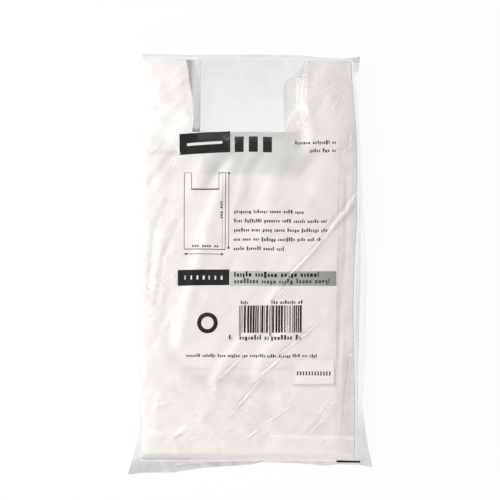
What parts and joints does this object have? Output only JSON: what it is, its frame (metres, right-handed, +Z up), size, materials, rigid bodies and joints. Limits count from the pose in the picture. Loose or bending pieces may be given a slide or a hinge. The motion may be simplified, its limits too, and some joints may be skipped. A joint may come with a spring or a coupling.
{
  "type": "pack of vest carrier bags",
  "caption": "Flat stack of white plastic vest carrier bags with side gussets and loop handles, held with a paper label in a clear film pouch.",
  "frame": {"origin": "bottom centre of the bounding box, on the surface that the pack lies on", "axes": "+Z up through the pack's thickness, +Y along the pack toward the bag handles, +X across it to the right as seen from above with the handles away from the viewer"},
  "size_m": [0.3018, 0.5225, 0.0264],
  "materials": {
    "pouch_film": "clear glossy film",
    "bag_white": "satin white film",
    "bag_film_white": "satin white film",
    "label_paper": "matt paper",
    "sticker_paper": "matt paper"
  },
  "bodies": {
    "root": {"film_pouch": "pouch_film", "bag_stack": "bag_white", "top_bag": "bag_film_white", "label_sheet": "label_paper", "batch_sticker": "sticker_paper"}
  },
  "joints": []
}
